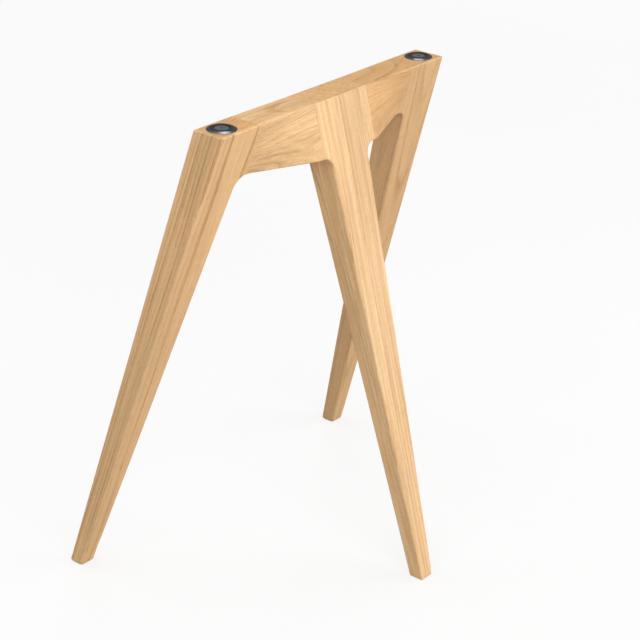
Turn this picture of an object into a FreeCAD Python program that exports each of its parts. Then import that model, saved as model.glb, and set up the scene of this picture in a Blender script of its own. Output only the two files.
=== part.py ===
import FreeCAD, Part
import math
import os

V = FreeCAD.Vector

# A three-legged oak trestle. X runs along the top rail, +Z is up, the middle leg
# leans towards -Y and the two end legs lean towards +Y. The origin is on the floor
# under the middle of the rail. Lengths are in millimetres.

# ---- driving dimensions: the wooden frame ------------------------------------
HEIGHT = 720.0            # floor to the wooden top face
LENGTH = 500.0            # top face, along X
WIDTH = 52.0              # top face, along Y
RAIL_DEPTH = 78.0         # top face down to the rail's underside
REACH = 220.0             # centre plane to the outer edge of every foot, along Y

END_HEAD = 71.0           # an end leg's width at the top face, if its taper ran on
END_FOOT_REACH = 320.0    # middle of the trestle to an end foot's outer edge, along X
END_FOOT_WIDTH = 28.0     # an end foot, along X
FOOT_THICKNESS = 24.0     # every foot, along Y

MIDDLE_HEAD = 84.0        # the middle leg's width at the top face, if its taper ran on
MIDDLE_FOOT_WIDTH = 26.0  # the middle foot, along X

CROTCH_RADIUS = 20.0      # round between a leg and the rail's underside
ARRIS_RADIUS = 2.5        # rounding of the long edges
END_FOOT_ARRIS = 6.0      # rounding of an end leg's front edges at the foot
END_ARRIS_FADE = 60.0     # height over which most of that extra rounding is gone
END_SOLE_ROUND = 4.5      # rounding around an end foot's sole
STATION_LOW = 25.0        # lowest of the heights at which an end leg's rounding is set
STATION_GROWTH = 1.8      # each height is this many times the one below
STATIONS = 6
MIDDLE_CROTCH_ARRIS = 4.5 # rounding of the middle leg's front edges under the crotch
MIDDLE_FOOT_ARRIS = 2.5   # and at the foot
MIDDLE_SOLE_ROUND = 2.0   # rounding around the middle foot's sole
TWIST_EASE = 12.0         # length over which the rail's twist starts and stops
RAIL_SECTIONS = 15        # sections that the rail's twisted faces pass through

# ---- driving dimensions: dowel joints ----------------------------------------
DOWEL_RADIUS = 6.0
DOWEL_LENGTH = 60.0
DOWEL_BEVEL = 1.0
DOWEL_DEPTHS = (22.0, 56.0)   # dowel axes below the top face
DOWEL_FIT = 0.02              # radial room in a dowel hole
GLUE_ROOM = 1.0               # room past each dowel's end

# ---- driving dimensions: levelling pads --------------------------------------
PAD_INSET = 28.0          # end of the rail to a pad's axis
CUP_RADIUS = 21.0
CUP_RIM = 0.5             # upright edge of the cup above the wood
CUP_HEIGHT = 2.2
CUP_FLOOR = 0.8
CUP_GAP = 0.1             # room between the lowered cup and the wood
CUP_WALL = 0.5            # flat top of the bevel, outside the groove
GROOVE_OUTER = 16.2       # groove that holds the rubber ring
GROOVE_INNER = 11.2
RING_HEIGHT = 3.0         # top of the rubber ring above the wooden top face
RING_ROUND = 1.0          # bevel on the ring's top edges
PART_FIT = 0.02           # room between pieces that only touch

THREAD_RADIUS = 4.0       # M8
THREAD_PITCH = 1.25
THREAD_DEPTH = 0.7
THREAD_SHARE = 0.8        # share of a pitch that its groove takes
RUNNING_FIT = 0.05        # radial room of the stud in the insert and in the cup
STUD_HEAD_RADIUS = 10.4
STUD_HEAD_HEIGHT = 1.0
STUD_HEAD_BEVEL = 0.4
STUD_LENGTH = 25.0        # under the head
HEX_KEY = 4.0             # across flats
HEX_DEPTH = 2.0
WASHER_RADIUS = 6.5
WASHER_THICKNESS = 1.0

INSERT_RADIUS = 6.0
INSERT_LENGTH = 18.0
INSERT_SINK = 3.2         # top of the insert below the wooden top face
INSERT_PITCH = 3.0
INSERT_THREAD_DEPTH = 0.8
COUNTERBORE_RADIUS = 7.2
STUD_HOLE_RADIUS = 5.0
STUD_HOLE_DEPTH = 30.0

# ---- values worked out from them ---------------------------------------------
HALF_LENGTH = LENGTH / 2
HALF_WIDTH = WIDTH / 2
UNDERSIDE = HEIGHT - RAIL_DEPTH
PAD_X = HALF_LENGTH - PAD_INSET
END_TOP_INNER = HALF_LENGTH - END_HEAD
END_FOOT_INNER = END_FOOT_REACH - END_FOOT_WIDTH
END_SLOPE = (END_FOOT_INNER - END_TOP_INNER) / HEIGHT
MIDDLE_SLOPE = (MIDDLE_HEAD - MIDDLE_FOOT_WIDTH) / 2 / HEIGHT
FAR = 2 * HEIGHT          # long enough to pass right through the trestle
CUT_PAST = 1.0            # how far a cutter passes the face that it opens
TINY = 1e-3


# ---- the trestle's planes ----------------------------------------------------
def end_inner_x(z):
    """Distance from the middle to an end leg's inner side, at a height."""
    return END_FOOT_INNER - END_SLOPE * z


def middle_side_x(z):
    """Half the middle leg's width, at a height."""
    return MIDDLE_FOOT_WIDTH / 2 + MIDDLE_SLOPE * z


def end_leg_faces(z):
    """Front and back y of an end leg, at a height."""
    drop = 1 - z / HEIGHT
    front = -HALF_WIDTH + (REACH - FOOT_THICKNESS + HALF_WIDTH) * drop
    back = HALF_WIDTH + (REACH - HALF_WIDTH) * drop
    return front, back


def middle_leg_faces(z):
    """Front and back y of the middle leg, at a height."""
    front, back = end_leg_faces(z)
    return -back, -front


def crotch_tangent(slope):
    """Distance from a crotch's sharp corner to where its round begins."""
    corner = math.pi / 2 + math.atan(slope)
    return CROTCH_RADIUS / math.tan(corner / 2)


END_JOINT_X = end_inner_x(UNDERSIDE) - crotch_tangent(END_SLOPE)
MIDDLE_JOINT_X = middle_side_x(UNDERSIDE) + crotch_tangent(MIDDLE_SLOPE)


def twist(x):
    """0 at the middle joint and 1 at the end joint, starting and stopping gently."""
    span = END_JOINT_X - MIDDLE_JOINT_X
    along = x - MIDDLE_JOINT_X
    slope = 1 / (span - TWIST_EASE)
    if along < TWIST_EASE:
        return slope * along ** 2 / (2 * TWIST_EASE)
    if along > span - TWIST_EASE:
        return 1 - slope * (span - along) ** 2 / (2 * TWIST_EASE)
    return slope * (along - TWIST_EASE / 2)


def rail_faces(x, z):
    """Front and back y of a rail, at a place along it and a height."""
    part = twist(x)
    middle = middle_leg_faces(z)
    end = end_leg_faces(z)
    return tuple(a + (b - a) * part for a, b in zip(middle, end))


# ---- helpers -----------------------------------------------------------------
def line(start, end):
    """Straight edge."""
    return Part.LineSegment(start, end).toShape()


def prism(points, direction):
    """Closed polygon swept along a vector."""
    face = Part.Face(Part.makePolygon(list(points) + [points[0]]))
    return face.extrude(direction)


def turned(outline, x):
    """Closed (radius, z) outline turned about the vertical axis at x."""
    points = [V(radius, 0, z) for radius, z in outline]
    face = Part.Face(Part.makePolygon(points + points[:1]))
    solid = face.revolve(V(0, 0, 0), V(0, 0, 1), 360)
    solid.translate(V(x, 0, 0))
    return solid


def upright_cylinder(radius, low, high, x):
    """Cylinder on the vertical axis at x."""
    return Part.makeCylinder(radius, high - low, V(x, 0, low), V(0, 0, 1))


def mirrored(shape):
    """The same piece on the other side of the trestle's middle."""
    return shape.mirror(V(0, 0, 0), V(1, 0, 0))


def grooved_side(radius, depth, pitch, top, bottom):
    """(radius, z) points down a side ringed by V grooves, from top to bottom."""
    half_groove = pitch * THREAD_SHARE / 2
    points = []
    for turn in range(int((top - bottom) / pitch)):
        groove = top - (turn + 0.5) * pitch
        points.append((radius, groove + half_groove))
        points.append((radius - depth, groove))
        points.append((radius, groove - half_groove))
    return points


# ---- legs --------------------------------------------------------------------
def crotch_arc(joint_x, corner_x, slope):
    """Round between the underside and a leg's side, and its lower end.

    The leg lies beyond corner_x as seen from joint_x; its side moves by slope
    away from the joint for each millimetre of fall.
    """
    away = 1 if corner_x > joint_x else -1
    start = V(joint_x, 0, UNDERSIDE)
    centre = V(joint_x, 0, UNDERSIDE - CROTCH_RADIUS)
    fall = V(away * slope, 0, -1)
    fall.normalize()
    end = V(corner_x, 0, UNDERSIDE) + fall * crotch_tangent(slope)
    outward = (start + end) * 0.5 - centre
    outward.normalize()
    return Part.Arc(start, centre + outward * CROTCH_RADIUS, end).toShape(), end


def leg_from_outline(edges, faces):
    """Front elevation outline met with the slab between a leg's two long faces."""
    elevation = Part.Face(Part.Wire(edges))
    elevation.translate(V(0, -FAR, 0))
    block = elevation.extrude(V(0, 2 * FAR, 0))
    top_front, top_back = faces(HEIGHT)
    foot_front, foot_back = faces(0)
    outline = [V(-FAR, top_front, HEIGHT), V(-FAR, top_back, HEIGHT)]
    outline += [V(-FAR, foot_back, 0), V(-FAR, foot_front, 0)]
    return block.common(prism(outline, V(2 * FAR, 0, 0)))


def worn_edges(shape):
    """A leg's long edges to round, without the edges around its sole.

    Edges that stay at one x bound a joint face or a crotch's round and stay sharp,
    apart from the one across the trestle's end.
    """
    chosen = []
    for edge in shape.Edges:
        box = edge.BoundBox
        at_one_x = box.XLength < TINY
        across_end = at_one_x and abs(abs(box.XMax) - HALF_LENGTH) < TINY
        in_sole = box.ZMax < TINY
        if across_end or not (at_one_x or in_sole):
            chosen.append(edge)
    return chosen


def end_front_radius(height):
    """Rounding of an end leg's front edges at a height: blunt at the foot, crisp above it."""
    return ARRIS_RADIUS + (END_FOOT_ARRIS - ARRIS_RADIUS) * math.exp(-height / END_ARRIS_FADE)


def middle_front_radius(height):
    """Rounding of the middle leg's front edges at the sole, at the crotch or in the head."""
    if height > UNDERSIDE - TINY:
        return ARRIS_RADIUS
    return MIDDLE_FOOT_ARRIS if height < TINY else MIDDLE_CROTCH_ARRIS


def rounded(shape, radii):
    """Shape with edges rounded; radii holds (edge number, radius at its start, at its end)."""
    document = FreeCAD.newDocument()
    sharp = document.addObject("Part::Feature", "sharp")
    sharp.Shape = shape
    fillet = document.addObject("Part::Fillet", "fillet")
    fillet.Base = sharp
    fillet.Edges = radii
    document.recompute()
    result = fillet.Shape.copy()
    FreeCAD.closeDocument(document.Name)
    return result


def softened(leg, faces, front_radius, sole_round):
    """Leg with its long edges and the edge around its sole rounded."""
    worn = worn_edges(leg)
    radii = []
    for number, edge in enumerate(leg.Edges, 1):
        if edge.BoundBox.ZMax < TINY:
            radii.append((number, sole_round, sole_round))
        elif any(edge.isSame(other) for other in worn):
            ends = []
            for place in (edge.valueAt(edge.FirstParameter), edge.valueAt(edge.LastParameter)):
                in_front = abs(place.y - faces(place.z)[0]) < TINY
                ends.append(front_radius(place.z) if in_front else ARRIS_RADIUS)
            radii.append((number, *ends))
    return rounded(leg, radii)


def stations(foot, head):
    """Points up a leg's edge in the front elevation, from foot to head, that set its rounding."""
    heights = [STATION_LOW * STATION_GROWTH ** step for step in range(STATIONS)]
    between = [foot + (head - foot) * (height / head.z) for height in heights]
    return [foot] + between + [head]


def end_leg_blank():
    """Left end leg, with the wide head that carries a pad and meets the rail."""
    top_outer = V(-HALF_LENGTH, 0, HEIGHT)
    top_inner = V(-END_JOINT_X, 0, HEIGHT)
    joint_low = V(-END_JOINT_X, 0, UNDERSIDE)
    foot_inner = V(-END_FOOT_INNER, 0, 0)
    foot_outer = V(-END_FOOT_REACH, 0, 0)
    arc, arc_end = crotch_arc(-END_JOINT_X, -end_inner_x(UNDERSIDE), END_SLOPE)
    inner = stations(foot_inner, arc_end)[::-1]
    outer = stations(foot_outer, top_outer)
    path = inner + outer
    edges = [line(top_outer, top_inner), line(top_inner, joint_low), arc]
    edges += [line(start, end) for start, end in zip(path, path[1:])]
    blank = leg_from_outline(edges, end_leg_faces)
    return softened(blank, end_leg_faces, end_front_radius, END_SOLE_ROUND)


def middle_leg_blank():
    """Middle leg, with a shoulder on each side for the two rails."""
    half_foot = MIDDLE_FOOT_WIDTH / 2
    right_arc, right_end = crotch_arc(MIDDLE_JOINT_X, middle_side_x(UNDERSIDE), -MIDDLE_SLOPE)
    left_arc, left_end = crotch_arc(-MIDDLE_JOINT_X, -middle_side_x(UNDERSIDE), -MIDDLE_SLOPE)
    top_left = V(-MIDDLE_JOINT_X, 0, HEIGHT)
    top_right = V(MIDDLE_JOINT_X, 0, HEIGHT)
    edges = [line(top_left, top_right), line(top_right, V(MIDDLE_JOINT_X, 0, UNDERSIDE)), right_arc]
    edges += [line(right_end, V(half_foot, 0, 0)), line(V(half_foot, 0, 0), V(-half_foot, 0, 0))]
    edges += [line(V(-half_foot, 0, 0), left_end), left_arc]
    edges += [line(V(-MIDDLE_JOINT_X, 0, UNDERSIDE), top_left)]
    blank = leg_from_outline(edges, middle_leg_faces)
    return softened(blank, middle_leg_faces, middle_front_radius, MIDDLE_SOLE_ROUND)


# ---- rails -------------------------------------------------------------------
def rounded_section(x):
    """Wire around a rail at x: four straight sides and four rounded arrises."""
    top_front, top_back = rail_faces(abs(x), HEIGHT)
    low_front, low_back = rail_faces(abs(x), UNDERSIDE)
    corners = [V(x, top_front, HEIGHT), V(x, top_back, HEIGHT)]
    corners += [V(x, low_back, UNDERSIDE), V(x, low_front, UNDERSIDE)]
    tangents = []
    arcs = []
    for index, corner in enumerate(corners):
        to_last = (corners[index - 1] - corner).normalize()
        to_next = (corners[(index + 1) % 4] - corner).normalize()
        half_angle = to_last.getAngle(to_next) / 2
        reach = ARRIS_RADIUS / math.tan(half_angle)
        inward = (to_last + to_next).normalize()
        centre = corner + inward * (ARRIS_RADIUS / math.sin(half_angle))
        start = corner + to_last * reach
        end = corner + to_next * reach
        arcs.append(Part.Arc(start, centre - inward * ARRIS_RADIUS, end).toShape())
        tangents.append((start, end))
    edges = []
    for index in range(4):
        edges.append(arcs[index])
        edges.append(line(tangents[index][1], tangents[(index + 1) % 4][0]))
    return Part.Wire(edges)


def rail_blank():
    """Left rail: lofted from the middle joint to the end joint as its faces twist over."""
    step = (END_JOINT_X - MIDDLE_JOINT_X) / (RAIL_SECTIONS - 1)
    places = [-(MIDDLE_JOINT_X + step * index) for index in range(RAIL_SECTIONS)]
    return Part.makeLoft([rounded_section(x) for x in places], True, False)


# ---- dowels ------------------------------------------------------------------
def dowel_axes(joint_x):
    """Centre point of each dowel in the joint at -joint_x."""
    axes = []
    for depth in DOWEL_DEPTHS:
        front, back = rail_faces(joint_x, HEIGHT - depth)
        axes.append(V(-joint_x, (front + back) / 2, HEIGHT - depth))
    return axes


def dowel(centre):
    """One dowel along X with bevelled ends."""
    start = centre - V(DOWEL_LENGTH / 2, 0, 0)
    rod = Part.makeCylinder(DOWEL_RADIUS, DOWEL_LENGTH, start, V(1, 0, 0))
    rims = [edge for edge in rod.Edges if edge.Closed]
    return rod.makeChamfer(DOWEL_BEVEL, rims)


def dowels(joint_x):
    """The dowels of the left-hand joint at -joint_x, as a group."""
    return Part.makeCompound([dowel(centre) for centre in dowel_axes(joint_x)])


def dowel_holes(joint_x):
    """Holes through the left-hand joint at -joint_x, into both pieces."""
    length = DOWEL_LENGTH + 2 * GLUE_ROOM
    holes = []
    for centre in dowel_axes(joint_x):
        start = centre - V(length / 2, 0, 0)
        holes.append(Part.makeCylinder(DOWEL_RADIUS + DOWEL_FIT, length, start, V(1, 0, 0)))
    return Part.makeCompound(holes)


# ---- levelling pads ----------------------------------------------------------
def pad_hole():
    """Hole in the left leg's head: counterbore, insert seat and room for the stud."""
    seat = HEIGHT - INSERT_SINK
    bore = upright_cylinder(COUNTERBORE_RADIUS, seat, HEIGHT + CUT_PAST, -PAD_X)
    insert_seat = upright_cylinder(INSERT_RADIUS + PART_FIT, seat - INSERT_LENGTH, HEIGHT, -PAD_X)
    stud_room = upright_cylinder(STUD_HOLE_RADIUS, HEIGHT - STUD_HOLE_DEPTH, HEIGHT, -PAD_X)
    return bore.fuse(insert_seat).fuse(stud_room)


def threaded_insert():
    """Metal insert, ringed outside to bite the wood, bored for the stud."""
    top = HEIGHT - INSERT_SINK
    bottom = top - INSERT_LENGTH
    outline = [(THREAD_RADIUS, bottom), (THREAD_RADIUS, top), (INSERT_RADIUS, top)]
    outline += grooved_side(INSERT_RADIUS, INSERT_THREAD_DEPTH, INSERT_PITCH, top, bottom)
    outline += [(INSERT_RADIUS, bottom)]
    return turned(outline, -PAD_X)


def pad_cup():
    """Bevelled metal cup with a groove for the rubber ring and a bore for the stud."""
    low = HEIGHT + CUP_GAP
    top = HEIGHT + CUP_HEIGHT
    floor = HEIGHT + CUP_FLOOR
    bore = THREAD_RADIUS + RUNNING_FIT
    bevel_top = GROOVE_OUTER + CUP_WALL
    outline = [(bore, low), (CUP_RADIUS, low), (CUP_RADIUS, low + CUP_RIM), (bevel_top, top)]
    outline += [(GROOVE_OUTER, top), (GROOVE_OUTER, floor), (bore, floor)]
    return turned(outline, -PAD_X)


def pad_ring():
    """Rubber ring pressed into the cup's groove, with a flat top for the tabletop."""
    floor = HEIGHT + CUP_FLOOR
    top = HEIGHT + RING_HEIGHT
    outer = GROOVE_OUTER - PART_FIT
    outline = [(GROOVE_INNER, floor), (outer, floor), (outer, top - RING_ROUND)]
    outline += [(outer - RING_ROUND, top), (GROOVE_INNER + RING_ROUND, top)]
    outline += [(GROOVE_INNER, top - RING_ROUND)]
    return turned(outline, -PAD_X)


def levelling_stud():
    """Screw that turns in the insert: flat head with a hex socket, ringed shank."""
    under = HEIGHT + CUP_FLOOR + PART_FIT
    top = under + STUD_HEAD_HEIGHT
    bottom = under - STUD_LENGTH
    neck_end = HEIGHT - INSERT_SINK
    radius = THREAD_RADIUS - RUNNING_FIT
    outline = [(0, bottom), (0, top), (STUD_HEAD_RADIUS - STUD_HEAD_BEVEL, top)]
    outline += [(STUD_HEAD_RADIUS, top - STUD_HEAD_BEVEL), (STUD_HEAD_RADIUS, under)]
    outline += [(THREAD_RADIUS, under), (THREAD_RADIUS, neck_end), (radius, neck_end)]
    outline += grooved_side(radius, THREAD_DEPTH, THREAD_PITCH, neck_end, bottom + THREAD_PITCH)
    outline += [(radius - THREAD_DEPTH, bottom)]
    return turned(outline, -PAD_X).cut(hex_socket(top))


def hex_socket(top):
    """Six-sided recess for a hex key, in the stud's head."""
    corner = HEX_KEY / math.sqrt(3)
    points = []
    for index in range(6):
        angle = math.radians(60 * index)
        points.append(V(corner * math.cos(angle) - PAD_X, corner * math.sin(angle), top - HEX_DEPTH))
    return prism(points, V(0, 0, HEX_DEPTH + CUT_PAST))


def retaining_washer():
    """Push-on washer that keeps the cup on the stud."""
    top = HEIGHT + CUP_GAP - RUNNING_FIT
    low = top - WASHER_THICKNESS
    disc = upright_cylinder(WASHER_RADIUS, low, top, -PAD_X)
    return disc.cut(upright_cylinder(THREAD_RADIUS, low - CUT_PAST, top + CUT_PAST, -PAD_X))


# ---- the pieces --------------------------------------------------------------
def left_hand_pieces():
    """Every piece that has a twin on the other side, modelled on the left."""
    end_holes = dowel_holes(END_JOINT_X)
    middle_holes = dowel_holes(MIDDLE_JOINT_X)
    return {
        "leg": end_leg_blank().cut(end_holes).cut(pad_hole()),
        "rail": rail_blank().cut(end_holes).cut(middle_holes),
        "leg_dowels": dowels(END_JOINT_X),
        "rail_inner_dowels": dowels(MIDDLE_JOINT_X),
        "threaded_insert": threaded_insert(),
        "pad_cup": pad_cup(),
        "pad_ring": pad_ring(),
        "levelling_stud": levelling_stud(),
        "retaining_washer": retaining_washer(),
    }


def middle_leg():
    """Middle leg with dowel holes on both sides."""
    holes = dowel_holes(MIDDLE_JOINT_X)
    return middle_leg_blank().cut(holes).cut(mirrored(holes))


def all_pieces():
    """Every node of the trestle by name."""
    pieces = {"middle_leg": middle_leg()}
    for name, shape in left_hand_pieces().items():
        pieces["left_" + name] = shape
        pieces["right_" + name] = mirrored(shape)
    return pieces


def main():
    os.makedirs("parts", exist_ok=True)
    for name, shape in all_pieces().items():
        shape.exportStep("parts/" + name + ".step")
        print(name, len(shape.Solids), shape.isValid(), round(shape.Volume, 1))


main()
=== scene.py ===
import math
from collections import namedtuple

import bpy
from mathutils import Matrix, Vector


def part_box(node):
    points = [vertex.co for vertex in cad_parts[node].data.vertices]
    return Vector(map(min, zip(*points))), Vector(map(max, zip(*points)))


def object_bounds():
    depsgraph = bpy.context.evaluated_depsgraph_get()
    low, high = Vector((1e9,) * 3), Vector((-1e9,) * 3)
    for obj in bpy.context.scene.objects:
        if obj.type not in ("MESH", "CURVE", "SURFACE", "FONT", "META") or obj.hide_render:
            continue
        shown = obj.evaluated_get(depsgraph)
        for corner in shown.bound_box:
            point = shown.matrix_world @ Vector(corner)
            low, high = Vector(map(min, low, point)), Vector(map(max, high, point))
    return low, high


# Looks of a three-legged oak trestle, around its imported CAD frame. Lengths are in metres,
# except in the trestle's materials, which are worked out in millimetres.

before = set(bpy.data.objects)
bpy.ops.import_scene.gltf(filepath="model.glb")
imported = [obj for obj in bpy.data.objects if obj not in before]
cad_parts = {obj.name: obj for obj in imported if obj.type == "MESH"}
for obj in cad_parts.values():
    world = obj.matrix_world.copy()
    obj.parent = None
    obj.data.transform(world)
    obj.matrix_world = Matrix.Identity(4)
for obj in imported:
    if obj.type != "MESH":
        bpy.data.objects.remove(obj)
CAD_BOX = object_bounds()

SIDES = ("left", "right")
MM = 0.001
TO_MM = (1 / MM, 1 / MM, 1 / MM)

# ---- edges: every sharp CAD edge gets a small bevel that catches the light ----
WOOD_BEVEL = 0.10 * MM       # also leaves a hairline V along each glued seam
METAL_BEVEL = 0.15 * MM
SMALL_METAL_BEVEL = METAL_BEVEL / 2
RUBBER_BEVEL = 0.3 * MM
SHARP_ANGLE = math.radians(28)
WELD_REACH = 0.002 * MM
FLAT_FACE_WEIGHT = 100       # large faces keep their shading flat

# ---- the camera, and lights placed by azimuth from the camera and elevation ---
VIEW_AZIMUTH = 308.2         # degrees: 0 looks along +Y, 90 along -X
VIEW_ELEVATION = 25.1
VIEW_DISTANCE = 2.82
VIEW_LENS = 106.0            # mm
VIEW_SENSOR = 36.0           # mm
VIEW_ROLL = 1.5              # degrees, the trestle's upright leans to the right
FLOOR_SIZE = 40.0
FLOOR_DROP = 0.2 * MM        # floor below the soles, so that the two faces don't coincide
FLOOR_BOUNCE = 0.40          # how pale the floor is to the light that it sends back up
FLOOR_SHADE = 0.22           # how much of the light and shadow on it the camera sees
FLOOR_FADE = (1.2, 4.0)      # that share falls to nothing between these distances out
FLOOR_MOTTLE = (0.97, 1.03)  # darkest and palest patch
FLOOR_MOTTLE_WAVES = 1.5     # in a metre
FLOOR_ROUGHNESS = 0.9
SKY_LIGHT = 0.27
BACKDROP = 0.97

# azimuth from the camera (+ is to its right), elevation, distance, size, strength
# at the trestle as a share of a plain white sky's
Lamp = namedtuple("Lamp", "azimuth elevation distance size share")
LAMPS = {
    "key": Lamp(95, 16, 6.4, 4.8, 0.58),
    "low_front": Lamp(22, 20, 6.4, 4.8, 0.56),
    "over_left": Lamp(-110, 60, 6.4, 4.8, 0.30),
    "front": Lamp(-20, 50, 6.4, 4.8, 0.22),
    "top": Lamp(171, 65, 5.0, 1.6, 0.12),
}
LIGHT_SPREAD = 0.84          # share of that light which the open floor gets
FLOOR_LIGHT = LIGHT_SPREAD * (SKY_LIGHT + sum(lamp.share * math.sin(math.radians(lamp.elevation))
                                              for lamp in LAMPS.values()))


# ---- node materials ------------------------------------------------------------
class Graph:
    """One node material, with short calls for the nodes that it uses."""

    def __init__(self, name):
        self.material = bpy.data.materials.new(name)
        self.material.use_nodes = True
        self.nodes = self.material.node_tree.nodes
        self.links = self.material.node_tree.links
        self.shader = self.nodes["Principled BSDF"]

    def node(self, kind, values=None, **settings):
        """New node with its settings, and its inputs set or linked."""
        node = self.nodes.new(kind)
        for key, value in settings.items():
            setattr(node, key, value)
        for key, value in (values or {}).items():
            self.put(node.inputs[key], value)
        return node

    def put(self, socket, value):
        """Links a socket to an input, or sets the input's value."""
        if isinstance(value, bpy.types.NodeSocket):
            self.links.new(value, socket)
        else:
            socket.default_value = value

    def place(self):
        """The shaded point, in the object's own frame."""
        return self.node("ShaderNodeTexCoord").outputs["Object"]

    def facing(self):
        """The direction that the surface faces, in the object's own frame."""
        return self.node("ShaderNodeTexCoord").outputs["Normal"]

    def math(self, operation, *values):
        """Number from a math node."""
        node = self.node("ShaderNodeMath", dict(enumerate(values)), operation=operation)
        return node.outputs[0]

    def vector(self, operation, *values):
        """Vector from a vector math node, or a number for a dot product or a length."""
        node = self.node("ShaderNodeVectorMath", dict(enumerate(values)), operation=operation)
        scalar = operation in ("DOT_PRODUCT", "LENGTH")
        return node.outputs["Value" if scalar else "Vector"]

    def split(self, vector):
        """The three numbers of a vector."""
        return self.node("ShaderNodeSeparateXYZ", {0: vector}).outputs

    def noise(self, vector, stretch, detail, roughness=0.5):
        """Smooth noise from 0 to 1 in space scaled by stretch."""
        scaled = self.vector("MULTIPLY", vector, stretch)
        values = {"Vector": scaled, "Scale": 1.0, "Detail": detail, "Roughness": roughness}
        return self.node("ShaderNodeTexNoise", values).outputs[0]

    def noise_along(self, number, scale, detail=1.0):
        """Smooth noise from 0 to 1 that depends on one number only."""
        values = {"W": number, "Scale": scale, "Detail": detail}
        return self.node("ShaderNodeTexNoise", values, noise_dimensions="1D").outputs[0]

    def chance(self, number):
        """A value from 0 to 1 drawn anew for every different number."""
        return self.node("ShaderNodeTexWhiteNoise", {"W": number}, noise_dimensions="1D").outputs[0]

    def grey(self, value):
        """Colour with all three parts equal to a number."""
        return self.node("ShaderNodeCombineColor", dict(enumerate([value] * 3))).outputs[0]

    def ramp(self, value, low, high, start=0.0, end=1.0):
        """start to end, smoothly, as value goes from low to high."""
        values = {"Value": value, "From Min": low, "From Max": high, "To Min": start, "To Max": end}
        node = self.node("ShaderNodeMapRange", values, interpolation_type="SMOOTHSTEP")
        return node.outputs[0]

    def mix(self, share, first, second, blend="MIX"):
        """The first colour turning into the second by a share."""
        node = self.node("ShaderNodeMix", data_type="RGBA", blend_type=blend)
        for key, value in zip(("Factor_Float", "A_Color", "B_Color"), (share, first, second)):
            socket = next(entry for entry in node.inputs if entry.identifier == key)
            self.put(socket, value)
        return next(entry for entry in node.outputs if entry.identifier == "Result_Color")

    def tint(self, colour, filter_colour):
        """A colour seen through a colour filter."""
        return self.mix(1.0, colour, filter_colour, "MULTIPLY")

    def bump(self, height, distance, strength):
        """Sets the surface bump, with distance in metres."""
        values = {"Height": height, "Distance": distance, "Strength": strength}
        self.put(self.shader.inputs["Normal"], self.node("ShaderNodeBump", values).outputs[0])

    def finish(self, **inputs):
        """Sets the shader's inputs by name and returns the material."""
        for key, value in inputs.items():
            self.put(self.shader.inputs[key.replace("_", " ")], value)
        return self.material


def rgb(red, green, blue):
    """Linear colour with full alpha."""
    return (red, green, blue, 1.0)


# ---- oak: the boards -----------------------------------------------------------
# A board is a piece of a round log: the log's middle, the pith, runs past the piece
# on a straight line. Its two ends are given as offsets in millimetres across the
# piece, (sideways, outward), from the piece's own middle line. ring is the width of
# a year's growth in millimetres, curl how fast the grain wanders along the piece,
# tone how light the wood is, warmth how orange, depth how strong its rings are and
# streaks how strong the finer lines between them.
Board = namedtuple("Board", "pith_low pith_high ring curl seed tone warmth depth streaks")
BOARDS = {
    "left_leg": Board((26, 62), (22, 54), 5.4, 1.0, 11, 1.07, 0.40, 1.10, 0.30),
    "middle_leg": Board((110, 40), (104, 40), 2.8, 1.0, 23, 1.09, 0.12, 0.75, 0.95),
    "right_leg": Board((-14, -96), (2, -92), 5.0, 1.0, 37, 1.00, 0.45, 0.60, 0.30),
    "left_rail": Board((24, -36), (-14, -32), 4.4, 4.0, 41, 1.06, 0.28, 0.80, 0.75),
    "right_rail": Board((30, -110), (22, -118), 4.6, 4.0, 59, 0.96, 1.00, 0.55, 0.50),
}
LEG_LINE_HEIGHTS = (0.1, 0.7)                 # of a leg's middle line's ends, as shares of the leg's


def slice_centre(node, height):
    """Middle of a CAD node's outline at a height."""
    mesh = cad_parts[node].data
    low = Vector((math.inf, math.inf))
    high = -low
    for edge in mesh.edges:
        start, end = (mesh.vertices[i].co for i in edge.vertices)
        if (start.z - height) * (end.z - height) < 0:
            point = start.lerp(end, (height - start.z) / (end.z - start.z)).xy
            low = Vector(map(min, low, point))
            high = Vector(map(max, high, point))
    middle = (low + high) / 2
    return Vector((middle.x, middle.y, height))


def grain_line(node):
    """Two points on the middle line of a wooden piece, along its grain."""
    low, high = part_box(node)
    if node.endswith("rail"):
        middle = (low + high) / 2
        return Vector((low.x, middle.y, middle.z)), Vector((high.x, middle.y, middle.z))
    return [slice_centre(node, share * high.z) for share in LEG_LINE_HEIGHTS]


def board_axes(node):
    """The ends of a wooden piece's grain line, and its sideways, outward and lengthwise directions."""
    low, high = grain_line(node)
    along = (high - low).normalized()
    level = Vector((0, 1, 0)) if node.endswith("rail") else Vector((1, 0, 0))
    sideways = (level - along * level.dot(along)).normalized()
    return low, high, sideways, along.cross(sideways), along


def log_axes(node, board):
    """Pith point, and the log's sideways, outward and lengthwise directions."""
    low, high, sideways, outward, _ = board_axes(node)
    start = low + (sideways * board.pith_low[0] + outward * board.pith_low[1]) * MM
    end = high + (sideways * board.pith_high[0] + outward * board.pith_high[1]) * MM
    lengthwise = (end - start).normalized()
    across = (sideways - lengthwise * sideways.dot(lengthwise)).normalized()
    return start, across, lengthwise.cross(across), lengthwise


def own_space(graph, place, origin, axes):
    """Shader vector in millimetres, from an origin and along three axes."""
    offset = graph.vector("SUBTRACT", place, tuple(origin))
    parts = [graph.vector("DOT_PRODUCT", offset, tuple(axis / MM)) for axis in axes]
    return graph.node("ShaderNodeCombineXYZ", dict(enumerate(parts))).outputs[0]


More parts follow.
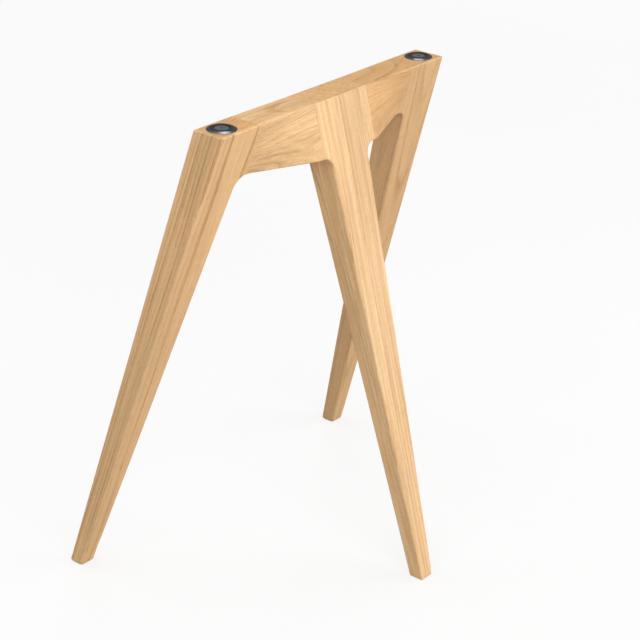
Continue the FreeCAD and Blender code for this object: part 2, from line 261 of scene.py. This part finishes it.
# ---- oak: its figure -----------------------------------------------------------
# A pattern is noise, with its waves in a millimetre across the grain and along it.
Pattern = namedtuple("Pattern", "across along detail roughness")
SWAY = Pattern(0.014, 0.002, 1.0, 0.5)        # slow bends of the rings
RIPPLE = Pattern(0.10, 0.006, 2.0, 0.5)       # quick, small ones
FADE = Pattern(0.05, 0.004, 1.0, 0.5)         # places where the rings are faint
FIBRE = Pattern(1.2, 0.008, 2.0, 0.6)         # hair-fine lines
STREAK = Pattern(0.24, 0.0028, 2.0, 0.5)      # broader lines
CLOUD = Pattern(0.035, 0.004, 2.0, 0.5)       # large paler and darker patches
PORE = Pattern(2.6, 0.10, 1.0, 0.5)           # short dark pores
FLECK = Pattern(0.9, 0.14, 1.0, 0.5)          # short pale rays
SEED_STEPS = (31.0, 17.0, 53.0)               # how far a board's seed moves its noise

SWAY_REACH = 14.0                             # millimetres
RIPPLE_REACH = 1.8                            # millimetres
WIDTH_REACH = 1.6                             # years, by which wide and narrow rings drift
WIDTH_WAVES = 0.55                            # of that drift in a year
RUN_WAVES = 0.31                              # in a year, of the runs of paler and darker years
EARLY_FALL = (0.0, 0.48)                      # shares of a year over which its dark start fades
EARLY_RISE = (0.88, 1.0)                      # and over which the next year's sets in
YEAR_STRENGTH = (0.20, 1.10)                  # of the faintest and the strongest year
FADE_LIMITS = (0.35, 0.60)
FADE_STRENGTH = (0.45, 1.15)                  # of the rings where they are faint and where not
PORE_LIMITS = (0.60, 0.70)
PORE_CROWDING = 0.11                          # pores are more frequent in the earlywood
FLECK_LIMITS = (0.66, 0.74)

Figure = namedtuple("Figure", "early years fibre streak cloud pores flecks")


def grain_noise(graph, fibres, pattern, curl=1.0):
    """One pattern over a board, with its waves along the grain multiplied by curl."""
    stretch = (pattern.across, pattern.across, pattern.along * curl)
    return graph.noise(fibres, stretch, pattern.detail, pattern.roughness)


def growth_rings(graph, log, fibres, board):
    """Earlywood share, 1 at the dark start of a strong year, and a run of paler and darker years."""
    x, y, _ = graph.split(log)
    squares = graph.math("ADD", graph.math("MULTIPLY", x, x), graph.math("MULTIPLY", y, y))
    radius = graph.math("SQRT", squares)
    sway = grain_noise(graph, fibres, SWAY, board.curl)
    ripple = grain_noise(graph, fibres, RIPPLE, board.curl)
    fade = grain_noise(graph, fibres, FADE, board.curl)
    radius = graph.math("MULTIPLY_ADD", sway, SWAY_REACH, radius)
    radius = graph.math("MULTIPLY_ADD", ripple, RIPPLE_REACH, radius)
    count = graph.math("DIVIDE", radius, board.ring)
    uneven = graph.noise_along(count, WIDTH_WAVES)
    count = graph.math("MULTIPLY_ADD", uneven, WIDTH_REACH, count)
    year = graph.math("FRACT", count)
    own = graph.chance(graph.math("FLOOR", count))
    falling = graph.ramp(year, *EARLY_FALL, 1.0, 0.0)
    rising = graph.ramp(year, *EARLY_RISE)
    early = graph.math("MAXIMUM", falling, rising)
    early = graph.math("MULTIPLY", early, graph.ramp(own, 0.0, 1.0, *YEAR_STRENGTH))
    early = graph.math("MULTIPLY", early, graph.ramp(fade, *FADE_LIMITS, *FADE_STRENGTH))
    return early, graph.noise_along(count, RUN_WAVES)


def board_figure(graph, place, node, board):
    """Every pattern of one board."""
    start, _, *along_board = board_axes(node)
    pith, *along_log = log_axes(node, board)
    log = own_space(graph, place, pith, along_log)
    fibres = own_space(graph, place, start, along_board)
    fibres = graph.vector("ADD", fibres, tuple(board.seed * step for step in SEED_STEPS))
    early, years = growth_rings(graph, log, fibres, board)
    pore = graph.math("MULTIPLY_ADD", early, PORE_CROWDING, grain_noise(graph, fibres, PORE))
    return Figure(
        early=early,
        years=years,
        fibre=grain_noise(graph, fibres, FIBRE),
        streak=grain_noise(graph, fibres, STREAK),
        cloud=grain_noise(graph, fibres, CLOUD),
        pores=graph.ramp(pore, *PORE_LIMITS),
        flecks=graph.ramp(grain_noise(graph, fibres, FLECK), *FLECK_LIMITS),
    )


# ---- oak: its edges, ends and seams --------------------------------------------
ARRIS_LIMITS = (0.34, 0.62)                   # of the smaller part of the surface's direction
END_GRAIN_LIMITS = (0.78, 0.90)               # of the surface's direction along the grain
SEAM_LIMITS = (0.1 * MM, 0.35 * MM)           # from the glue plane: full colour, and none


def rounded_edge(graph):
    """1 on the rounded arrises and 0 on the flat faces, from the surface's direction."""
    x, y, z = (graph.math("ABSOLUTE", part) for part in graph.split(graph.facing()))
    upright = graph.math("MINIMUM", x, y)
    level = graph.math("MINIMUM", y, z)
    return graph.ramp(graph.math("MAXIMUM", upright, level), *ARRIS_LIMITS)


def end_grain(graph, along):
    """1 where the surface cuts across the grain, which soaks up more oil, and 0 along it."""
    across = graph.math("ABSOLUTE", graph.vector("DOT_PRODUCT", graph.facing(), tuple(along)))
    return graph.ramp(across, *END_GRAIN_LIMITS)


def seam_planes(node):
    """Distances from the trestle's middle to the planes where a wooden piece is glued."""
    inner, outer = sorted(abs(corner.x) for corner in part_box("right_rail"))
    if node.endswith("rail"):
        return inner, outer
    return (inner,) if node == "middle_leg" else (outer,)


def seam_lines(graph, place, node):
    """1 within a hair of the planes where this piece is glued to its neighbours."""
    x = graph.math("ABSOLUTE", graph.split(place)[0])
    share = 0.0
    for plane in seam_planes(node):
        distance = graph.math("ABSOLUTE", graph.math("SUBTRACT", x, plane))
        share = graph.math("MAXIMUM", share, graph.ramp(distance, *SEAM_LIMITS, 1.0, 0.0))
    return share


# ---- oak: its colour and surface -----------------------------------------------
OAK_PALE = rgb(0.785, 0.546, 0.306)
OAK_TAN = rgb(0.690, 0.432, 0.214)
OAK_EARLYWOOD = rgb(0.500, 0.272, 0.104)
OAK_WARM = rgb(1.04, 0.93, 0.80)              # filters, which multiply a colour
OAK_PORE = rgb(0.66, 0.50, 0.34)
OAK_END = rgb(0.94, 0.88, 0.80)

# shares of the colours that are laid over the board's own
EARLYWOOD_SHARE = 0.60
PORE_SHARE = 0.50
FLECK_SHARE = 0.18
# painted highlight: how much paler the rounded arrises are made
ARRIS_HIGHLIGHT_SHARE = 0.12
SEAM_SHARE = 0.05
# the wood is darker towards the soles, by this share and up to this height
FOOT_DARKENING_SHARE = 0.45
FOOT_DARKENING_HEIGHT = 6 * MM

# a pattern's low and high ends, and the brightness or roughness there
STREAK_LIMITS = (0.30, 0.70)
SHADE_LIMITS = (0.3, 0.7)
FIBRE_SHADE = (0.93, 1.06)
CLOUD_SHADE = (0.94, 1.06)
YEARS_SHADE = (0.95, 1.04)
FIBRE_ROUGHNESS = (0.50, 0.60)
PORE_ROUGHNESS = 0.14                         # added in the pores
ARRIS_ROUGHNESS = -0.06                       # and on the arrises, which hands polish
OAK_SHINE = 0.20

# heights of the surface, as shares of the relief
OAK_RELIEF = 0.10 * MM
OAK_RELIEF_STRENGTH = 0.7
FIBRE_RELIEF = 0.35
PORE_RELIEF = -1.0
EARLYWOOD_RELIEF = -0.30


def board_shade(graph, figure, board):
    """Brightness of a board from place to place."""
    fibre_shade = graph.ramp(figure.fibre, *SHADE_LIMITS, *FIBRE_SHADE)
    cloud_shade = graph.ramp(figure.cloud, *SHADE_LIMITS, *CLOUD_SHADE)
    years_shade = graph.ramp(figure.years, *SHADE_LIMITS, *YEARS_SHADE)
    shade = graph.math("MULTIPLY", fibre_shade, cloud_shade)
    shade = graph.math("MULTIPLY", shade, years_shade)
    return graph.math("MULTIPLY", shade, board.tone)


def bare_oak(graph, figure, board):
    """Colour of the inside of a board: its tan streaks, rings, warmth, shade, pores and flecks."""
    tan_range = (0.5 - board.streaks / 2, 0.5 + board.streaks / 2)
    tan = graph.ramp(figure.streak, *STREAK_LIMITS, *tan_range)
    colour = graph.mix(tan, OAK_PALE, OAK_TAN)
    early = graph.math("MULTIPLY", figure.early, EARLYWOOD_SHARE * board.depth)
    colour = graph.mix(early, colour, OAK_EARLYWOOD)
    colour = graph.mix(board.warmth, colour, graph.tint(colour, OAK_WARM))
    colour = graph.tint(colour, graph.grey(board_shade(graph, figure, board)))
    pores = graph.math("MULTIPLY", figure.pores, PORE_SHARE)
    colour = graph.mix(pores, colour, graph.tint(colour, OAK_PORE))
    return graph.mix(graph.math("MULTIPLY", figure.flecks, FLECK_SHARE), colour, OAK_PALE)


def worked_oak(graph, place, node, colour, edge, streak):
    """Colour of a finished piece: oiled end grain, arrises made paler as a painted highlight, seams and
    darker wood towards the soles.
    """
    along = board_axes(node)[-1]
    colour = graph.mix(end_grain(graph, along), colour, graph.tint(colour, OAK_END))
    # painted highlight: the arrises are mixed towards pale oak
    colour = graph.mix(graph.math("MULTIPLY", edge, ARRIS_HIGHLIGHT_SHARE), colour, OAK_PALE)
    seam = graph.math("MULTIPLY", seam_lines(graph, place, node), SEAM_SHARE)
    colour = graph.mix(seam, colour, OAK_EARLYWOOD)
    # darker towards the soles, in patches that follow the streaks
    height = graph.split(place)[2]
    low_down = graph.ramp(height, 0.0, FOOT_DARKENING_HEIGHT, FOOT_DARKENING_SHARE, 0.0)
    return graph.mix(graph.math("MULTIPLY", low_down, streak), colour, OAK_EARLYWOOD)


def oak_roughness(graph, figure, edge):
    """Rougher in the pores and smoother on the arrises."""
    rough = graph.ramp(figure.fibre, *SHADE_LIMITS, *FIBRE_ROUGHNESS)
    rough = graph.math("MULTIPLY_ADD", figure.pores, PORE_ROUGHNESS, rough)
    return graph.math("MULTIPLY_ADD", edge, ARRIS_ROUGHNESS, rough)


def oak_relief(graph, figure):
    """Raised fibres, open pores and sunken earlywood."""
    height = graph.math("MULTIPLY", figure.fibre, FIBRE_RELIEF)
    height = graph.math("MULTIPLY_ADD", figure.pores, PORE_RELIEF, height)
    return graph.math("MULTIPLY_ADD", figure.early, EARLYWOOD_RELIEF, height)


def oak(node, board):
    """Oiled oak cut from its own log, so that every face shows the grain it would have."""
    graph = Graph("oak_" + node)
    place = graph.place()
    figure = board_figure(graph, place, node, board)
    edge = rounded_edge(graph)
    bare = bare_oak(graph, figure, board)
    colour = worked_oak(graph, place, node, bare, edge, figure.streak)
    graph.bump(oak_relief(graph, figure), OAK_RELIEF, OAK_RELIEF_STRENGTH)
    rough = oak_roughness(graph, figure, edge)
    return graph.finish(Base_Color=colour, Roughness=rough, Specular_IOR_Level=OAK_SHINE)


# ---- hardware materials ----------------------------------------------------------
# groove is the depth in millimetres of the fine rings that the lathe left
Metal = namedtuple("Metal", "colour roughness groove")
METALS = {
    "black_nickel": Metal(rgb(0.20, 0.21, 0.23), 0.20, 0.010),
    "zinc_plate": Metal(rgb(0.34, 0.35, 0.37), 0.34, 0.006),
    "brass": Metal(rgb(0.72, 0.52, 0.24), 0.30, 0.010),
}
LATHE_WAVES = 9.0                             # of the rings in a millimetre
LATHE_STRENGTH = 0.6
SMUDGE_WAVES = (0.16, 0.16, 0.16)
SMUDGE_LIMITS = (0.35, 0.75)
SMUDGE_DARKNESS = 0.72                        # the metal's colour times this, where it is smudged
SMUDGE_ROUGHNESS = 0.16
CLEAN_ROUGHNESS = -0.06                       # added all over, against what the smudges add
SCRATCH_WAVES = (0.35, 6.0, 0.5)
SCRATCH_LIMITS = (0.68, 0.74)
SCRATCH_ROUGHNESS = 0.12
SCRATCH_RELIEF = -0.5

RUBBER_BLACK = rgb(0.016, 0.016, 0.018)
RUBBER_RUBBED = rgb(0.030, 0.030, 0.032)
RUBBER_DUST = rgb(0.060, 0.057, 0.052)
DUST_WAVES = (0.45, 0.45, 0.45)
DUST_LIMITS = (0.5, 0.8)
DUST_SHARE = 0.30
RUBBED_SHARE = 0.35
RUBBED_LIMITS = (0.8, 1.0)                    # of the surface's direction upwards
SKIN_WAVES = (5.0, 5.0, 5.0)
SKIN_RELIEF = 0.05 * MM
SKIN_STRENGTH = 0.6
RUBBER_ROUGHNESS = 0.52
SKIN_ROUGHNESS = 0.22                         # added where the skin stands highest
RUBBER_SHINE = 0.4

BEECH_PALE = rgb(0.72, 0.50, 0.32)
BEECH_DARK = rgb(0.58, 0.38, 0.22)
BEECH_FLECK = rgb(0.40, 0.24, 0.13)
BEECH_FIBRE_WAVES = (0.03, 1.4, 1.4)          # the dowels lie along X
BEECH_FLECK_WAVES = (0.45, 2.6, 2.6)
BEECH_FLECK_LIMITS = (0.60, 0.70)
BEECH_FLECK_SHARE = 0.5
BEECH_RELIEF = 0.06 * MM
BEECH_RELIEF_STRENGTH = 0.5
BEECH_ROUGHNESS_LIMITS = (0.2, 0.8)
BEECH_ROUGHNESS = (0.5, 0.65)


def pad_space(graph, side):
    """Shader vector and distance from a pad's upright axis, both in millimetres."""
    low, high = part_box(side + "_pad_cup")
    middle = (low + high) / 2
    away = graph.vector("SUBTRACT", graph.place(), tuple(middle))
    offset = graph.vector("MULTIPLY", away, TO_MM)
    flat = graph.vector("MULTIPLY", offset, (1.0, 1.0, 0.0))
    return offset, graph.vector("LENGTH", flat)


def turned_metal(name, side):
    """Machined metal: rings left by the lathe, darker smudges and a scratch here and there."""
    metal = METALS[name]
    graph = Graph(name + "_" + side)
    place, radius = pad_space(graph, side)
    ring = graph.noise_along(radius, LATHE_WAVES, detail=2.0)
    smudge = graph.noise(place, SMUDGE_WAVES, detail=3.0)
    scratch = graph.ramp(graph.noise(place, SCRATCH_WAVES, detail=1.0), *SCRATCH_LIMITS)
    dark = rgb(*(SMUDGE_DARKNESS * part for part in metal.colour[:3]))
    tone = graph.mix(graph.ramp(smudge, *SMUDGE_LIMITS), metal.colour, dark)
    clean = metal.roughness + CLEAN_ROUGHNESS
    rough = graph.math("MULTIPLY_ADD", smudge, SMUDGE_ROUGHNESS, clean)
    rough = graph.math("MULTIPLY_ADD", scratch, SCRATCH_ROUGHNESS, rough)
    height = graph.math("MULTIPLY_ADD", scratch, SCRATCH_RELIEF, ring)
    graph.bump(height, metal.groove * MM, LATHE_STRENGTH)
    return graph.finish(Base_Color=tone, Metallic=1.0, Roughness=rough)


def black_rubber(side):
    """Moulded rubber with a fine matt skin, dust here and there and a rubbed top."""
    graph = Graph("black_rubber_" + side)
    place, _ = pad_space(graph, side)
    skin = graph.noise(place, SKIN_WAVES, detail=3.0, roughness=0.6)
    dust = graph.ramp(graph.noise(place, DUST_WAVES, detail=3.0), *DUST_LIMITS)
    upward = graph.split(graph.facing())[2]
    rubbed = graph.ramp(upward, *RUBBED_LIMITS, 0.0, RUBBED_SHARE)
    tone = graph.mix(graph.math("MULTIPLY", dust, DUST_SHARE), RUBBER_BLACK, RUBBER_DUST)
    tone = graph.mix(rubbed, tone, RUBBER_RUBBED)
    rough = graph.math("MULTIPLY_ADD", skin, SKIN_ROUGHNESS, RUBBER_ROUGHNESS)
    graph.bump(skin, SKIN_RELIEF, SKIN_STRENGTH)
    return graph.finish(Base_Color=tone, Roughness=rough, Specular_IOR_Level=RUBBER_SHINE)


def beech():
    """Plain machined beech with short flecks along the dowel."""
    graph = Graph("beech")
    place = graph.vector("MULTIPLY", graph.place(), TO_MM)
    fibre = graph.noise(place, BEECH_FIBRE_WAVES, detail=3.0)
    fleck = graph.ramp(graph.noise(place, BEECH_FLECK_WAVES, detail=1.0), *BEECH_FLECK_LIMITS)
    colour = graph.mix(fibre, BEECH_PALE, BEECH_DARK)
    colour = graph.mix(graph.math("MULTIPLY", fleck, BEECH_FLECK_SHARE), colour, BEECH_FLECK)
    graph.bump(fibre, BEECH_RELIEF, BEECH_RELIEF_STRENGTH)
    rough = graph.ramp(fibre, *BEECH_ROUGHNESS_LIMITS, *BEECH_ROUGHNESS)
    return graph.finish(Base_Color=colour, Roughness=rough)


# ---- putting materials and edges on the CAD nodes ----------------------------------
def dress(node, material, bevel):
    """Gives a CAD node its material, eased edges and smooth, flat-faced shading."""
    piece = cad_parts[node]
    piece.data.materials.clear()
    piece.data.materials.append(material)
    piece.data.polygons.foreach_set("material_index", [0] * len(piece.data.polygons))
    piece.data.shade_smooth()
    weld = piece.modifiers.new("weld", "WELD")
    weld.merge_threshold = WELD_REACH
    edges = piece.modifiers.new("eased_edges", "BEVEL")
    edges.width = bevel
    edges.segments = 2
    edges.limit_method = "ANGLE"
    edges.angle_limit = SHARP_ANGLE
    flat = piece.modifiers.new("flat_faces", "WEIGHTED_NORMAL")
    flat.mode = "FACE_AREA_WITH_ANGLE"
    flat.weight = FLAT_FACE_WEIGHT


def dress_wood():
    """Oak on the legs and rails, each from its own board."""
    for node, board in BOARDS.items():
        dress(node, oak(node, board), WOOD_BEVEL)


def dress_hardware():
    """Dowels, inserts, and the pads with their studs."""
    dowel_wood = beech()
    for side in SIDES:
        nickel, zinc, brass = (turned_metal(name, side) for name in METALS)
        dress(side + "_pad_cup", nickel, METAL_BEVEL)
        dress(side + "_pad_ring", black_rubber(side), RUBBER_BEVEL)
        dress(side + "_threaded_insert", brass, SMALL_METAL_BEVEL)
        for part in ("_levelling_stud", "_retaining_washer"):
            dress(side + part, zinc, SMALL_METAL_BEVEL)
        for part in ("_leg_dowels", "_rail_inner_dowels"):
            dress(side + part, dowel_wood, METAL_BEVEL)


# ---- the stage -----------------------------------------------------------------------
def from_camera_side(azimuth, elevation):
    """Unit vector from the trestle towards a place at this azimuth and elevation."""
    round_about, up = math.radians(azimuth), math.radians(elevation)
    level = math.cos(up)
    return Vector((math.sin(round_about) * level, -math.cos(round_about) * level, math.sin(up)))


def aim(thing, place, target, roll=0.0):
    """Puts a lamp or the camera at a place, looking at a target."""
    turn = (target - place).to_track_quat("-Z", "Y").to_matrix().to_4x4()
    thing.matrix_world = Matrix.Translation(place) @ turn @ Matrix.Rotation(math.radians(roll), 4, "Z")


def floor_material():
    """Pale seamless paper: it sends back soft light, and the camera sees it near white."""
    graph = Graph("studio_floor")
    place = graph.place()
    seen = graph.node("ShaderNodeLightPath").outputs["Is Camera Ray"]
    patches = graph.noise(place, [FLOOR_MOTTLE_WAVES] * 3, detail=3.0)
    mottle = graph.ramp(patches, 0.0, 1.0, *FLOOR_MOTTLE)
    away = graph.ramp(graph.vector("LENGTH", place), *FLOOR_FADE)
    shade = graph.math("MULTIPLY_ADD", away, -FLOOR_SHADE, FLOOR_SHADE)
    change = graph.math("SUBTRACT", shade, FLOOR_BOUNCE)
    albedo = graph.math("MULTIPLY_ADD", seen, change, FLOOR_BOUNCE)
    lit = graph.math("MULTIPLY", shade, FLOOR_LIGHT)
    glow = graph.math("MULTIPLY", seen, graph.math("SUBTRACT", BACKDROP, lit))
    tone = graph.grey(graph.math("MULTIPLY", albedo, mottle))
    return graph.finish(Base_Color=tone, Roughness=FLOOR_ROUGHNESS, Specular_IOR_Level=0.0,
                        Emission_Color=rgb(1, 1, 1), Emission_Strength=glow)


def make_floor():
    """Large plain floor under the soles."""
    mesh = bpy.data.meshes.new("floor")
    half = FLOOR_SIZE / 2
    corners = [(-half, -half, 0), (half, -half, 0), (half, half, 0), (-half, half, 0)]
    mesh.from_pydata(corners, [], [(0, 1, 2, 3)])
    mesh.materials.append(floor_material())
    floor = bpy.data.objects.new("floor", mesh)
    floor.location.z = -FLOOR_DROP
    bpy.context.scene.collection.objects.link(floor)


def make_sky():
    """Even white light from all round, and a paler backdrop that only the camera sees."""
    world = bpy.data.worlds.new("studio")
    bpy.context.scene.world = world
    world.use_nodes = True
    nodes, links = world.node_tree.nodes, world.node_tree.links
    background = nodes["Background"]
    background.inputs["Color"].default_value = rgb(1, 1, 1)
    seen = nodes.new("ShaderNodeLightPath").outputs["Is Camera Ray"]
    strength = nodes.new("ShaderNodeMapRange")
    strength.inputs["To Min"].default_value = SKY_LIGHT
    strength.inputs["To Max"].default_value = BACKDROP
    links.new(seen, strength.inputs["Value"])
    links.new(strength.outputs[0], background.inputs["Strength"])


def make_lamp(name, lamp, target):
    """Square soft lamp that gives its share of a white sky's light at the target."""
    data = bpy.data.lights.new(name, "AREA")
    data.size = lamp.size
    data.energy = lamp.share * (math.pi * lamp.distance) ** 2
    light = bpy.data.objects.new(name, data)
    bpy.context.scene.collection.objects.link(light)
    place = target + from_camera_side(VIEW_AZIMUTH + lamp.azimuth, lamp.elevation) * lamp.distance
    aim(light, place, target)
    light.visible_camera = False


def make_camera(target):
    """Camera that looks down at the trestle from its middle leg's side."""
    data = bpy.data.cameras.new("camera")
    data.lens = VIEW_LENS
    data.sensor_width = VIEW_SENSOR
    camera = bpy.data.objects.new("camera", data)
    bpy.context.scene.collection.objects.link(camera)
    place = target + from_camera_side(VIEW_AZIMUTH, VIEW_ELEVATION) * VIEW_DISTANCE
    aim(camera, place, target, VIEW_ROLL)
    bpy.context.scene.camera = camera


def make_stage():
    """Floor, lights and camera round the trestle."""
    low, high = CAD_BOX
    middle = (low + high) / 2
    make_floor()
    make_sky()
    for name, lamp in LAMPS.items():
        make_lamp(name, lamp, middle)
    make_camera(middle)
    bpy.context.scene.view_settings.view_transform = "Standard"


dress_wood()
dress_hardware()
make_stage()
